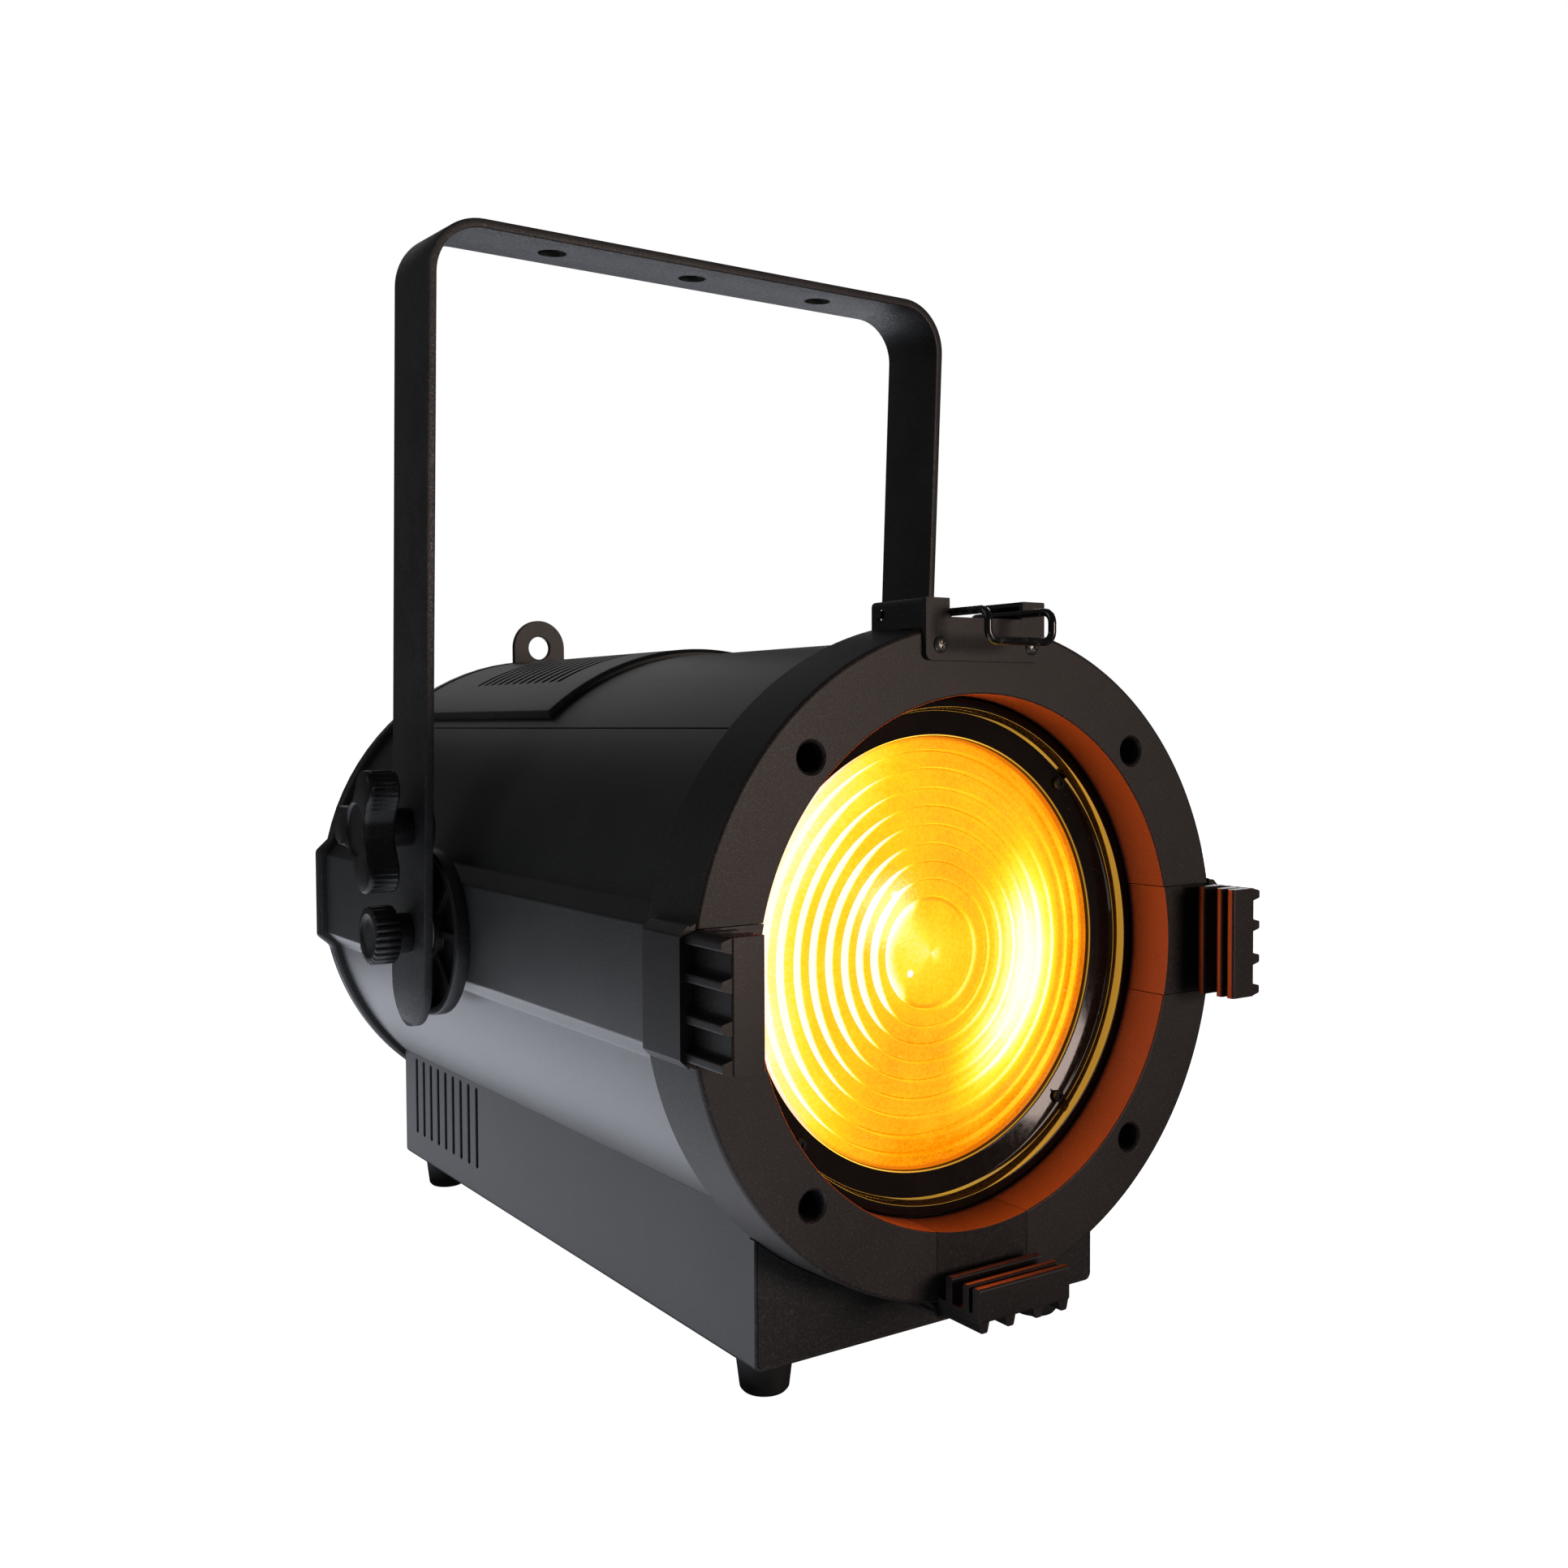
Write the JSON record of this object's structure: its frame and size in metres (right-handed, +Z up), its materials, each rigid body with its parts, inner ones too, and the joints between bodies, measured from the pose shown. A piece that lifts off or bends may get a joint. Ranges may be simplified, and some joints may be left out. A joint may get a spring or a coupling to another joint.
{
  "type": "fresnel spotlight",
  "caption": "Fresnel theatre and studio spotlight on a tilting yoke: stepped lens, accessory holders, vented barrel, sliding light engine and power base on feet.",
  "frame": {"origin": "on the floor, in the middle of the lamp's overall width and length", "axes": "+X across the lamp, -Y along the beam out of the lens, +Z up"},
  "size_m": [0.3236, 0.425, 0.4629],
  "materials": {
    "ring_coat": "fine texture",
    "holder_coat": "satin",
    "housing_coat": "fine texture",
    "yoke_coat": "coarse texture",
    "black_wire": "gloss",
    "zinc_screw": "satin",
    "black_screw": "satin",
    "lens_glass": "pressed, clear",
    "retainer_coat": "gloss",
    "silicone": "matt",
    "knob_plastic": "satin",
    "foot_rubber": "matt",
    "nylon": "matt",
    "pad_rubber": "matt",
    "steel": "ground",
    "sheet_aluminium": "mill finish",
    "bronze": "sintered",
    "led_white": "gloss",
    "led_phosphor": "gloss",
    "polished": "polished",
    "fan_plastic": "satin",
    "panel_plastic": "gloss",
    "display_glass": "gloss",
    "button_plastic": "satin",
    "socket_plastic": "satin",
    "board_green": "lacquered"
  },
  "bodies": {
    "lamp": {"front_ring": "ring_coat", "holder_left": "holder_coat", "holder_right": "holder_coat", "holder_bottom": "holder_coat", "ring_screws": "black_screw", "gate_bracket": "ring_coat", "bracket_screws": "zinc_screw", "lens": "lens_glass", "lens_seal": "silicone", "lens_retainer": "retainer_coat", "retainer_screws": "black_screw", "housing_shell": "housing_coat", "top_shell": "housing_coat", "vent_cover": "housing_coat", "rear_cover": "housing_coat", "rear_screws": "zinc_screw", "safety_eye": "housing_coat", "base_channel": "housing_coat", "base_front_panel": "housing_coat", "base_rear_panel": "housing_coat", "base_screws": "zinc_screw", "rubber_feet": "foot_rubber", "pivot_disc_left": "knob_plastic", "pivot_disc_right": "knob_plastic", "pivot_bolt_left": "steel", "pivot_bolt_right": "steel", "front_bulkhead": "sheet_aluminium", "rear_bulkhead": "sheet_aluminium", "guide_rods": "steel", "fan_frame": "fan_plastic", "fan_grille": "black_wire", "control_panel": "panel_plastic", "display_window": "display_glass", "power_inlet": "socket_plastic", "fuse_holder": "socket_plastic", "data_sockets": "socket_plastic", "power_supply": "sheet_aluminium", "driver_board": "board_green"},
    "yoke": {"yoke": "yoke_coat", "pivot_washers": "nylon", "brake_pads": "pad_rubber"},
    "tilt_knob_left": {"tilt_knob_left": "knob_plastic"},
    "tilt_knob_right": {"tilt_knob_right": "knob_plastic"},
    "pivot_knob_left": {"pivot_knob_left": "knob_plastic"},
    "pivot_knob_right": {"pivot_knob_right": "knob_plastic"},
    "gate_bail": {"gate_bail": "black_wire"},
    "light_engine": {"light_carriage": "sheet_aluminium", "rod_bushes": "bronze", "heat_sink": "sheet_aluminium", "led_board": "led_white", "led_emitter": "led_phosphor", "reflector": "polished"},
    "focus_drive": {"lead_screw": "steel", "focus_knob": "knob_plastic"},
    "fan_rotor": {"fan_rotor": "fan_plastic"},
    "button_menu": {"button_menu": "button_plastic"},
    "button_down": {"button_down": "button_plastic"},
    "button_up": {"button_up": "button_plastic"},
    "button_enter": {"button_enter": "button_plastic"}
  },
  "joints": [
    {"name": "yoke_tilt", "type": "hinge", "parent": "lamp", "child": "yoke", "pos_m": [0, 0.0335, 0.1565], "axis": [1, 0, 0], "range_deg": [-95, 95]},
    {"name": "tilt_knob_left_turn", "type": "hinge", "parent": "yoke", "child": "tilt_knob_left", "pos_m": [-0.145, 0.03107, 0.20294], "axis": [-1, 0, 0], "range_deg": [0, 540]},
    {"name": "pivot_knob_left_turn", "type": "hinge", "parent": "yoke", "child": "pivot_knob_left", "pos_m": [-0.145, 0.0335, 0.1565], "axis": [-1, 0, 0], "range_deg": [0, 360]},
    {"name": "tilt_knob_right_turn", "type": "hinge", "parent": "yoke", "child": "tilt_knob_right", "pos_m": [0.145, 0.03107, 0.20294], "axis": [1, 0, 0], "range_deg": [0, 540]},
    {"name": "pivot_knob_right_turn", "type": "hinge", "parent": "yoke", "child": "pivot_knob_right", "pos_m": [0.145, 0.0335, 0.1565], "axis": [1, 0, 0], "range_deg": [0, 360]},
    {"name": "bail_lift", "type": "hinge", "parent": "lamp", "child": "gate_bail", "pos_m": [0, -0.165, 0.2875], "axis": [-1, 0, 0], "range_deg": [0, 105]},
    {"name": "focus_slide", "type": "slide", "parent": "lamp", "child": "light_engine", "axis": [0, 1, 0], "range_m": [-0.06, 0.06]},
    {"name": "focus_turn", "type": "hinge", "parent": "lamp", "child": "focus_drive", "pos_m": [0, 0.1905, 0.061], "axis": [0, 1, 0], "range_deg": [-905, 905]},
    {"name": "fan_spin", "type": "hinge", "parent": "lamp", "child": "fan_rotor", "pos_m": [0, 0.1555, 0.187], "axis": [0, 1, 0], "continuous": true},
    {"name": "button_menu_press", "type": "slide", "parent": "lamp", "child": "button_menu", "axis": [0, -1, 0], "range_m": [0, 0.0015], "stiffness_N_per_m": 300, "springref_m": -0.0015},
    {"name": "button_down_press", "type": "slide", "parent": "lamp", "child": "button_down", "axis": [0, -1, 0], "range_m": [0, 0.0015], "stiffness_N_per_m": 300, "springref_m": -0.0015},
    {"name": "button_up_press", "type": "slide", "parent": "lamp", "child": "button_up", "axis": [0, -1, 0], "range_m": [0, 0.0015], "stiffness_N_per_m": 300, "springref_m": -0.0015},
    {"name": "button_enter_press", "type": "slide", "parent": "lamp", "child": "button_enter", "axis": [0, -1, 0], "range_m": [0, 0.0015], "stiffness_N_per_m": 300, "springref_m": -0.0015}
  ],
  "couplings": [
    {"joint": "focus_turn", "follows": "focus_slide", "rad_per_m": 261.8}
  ]
}
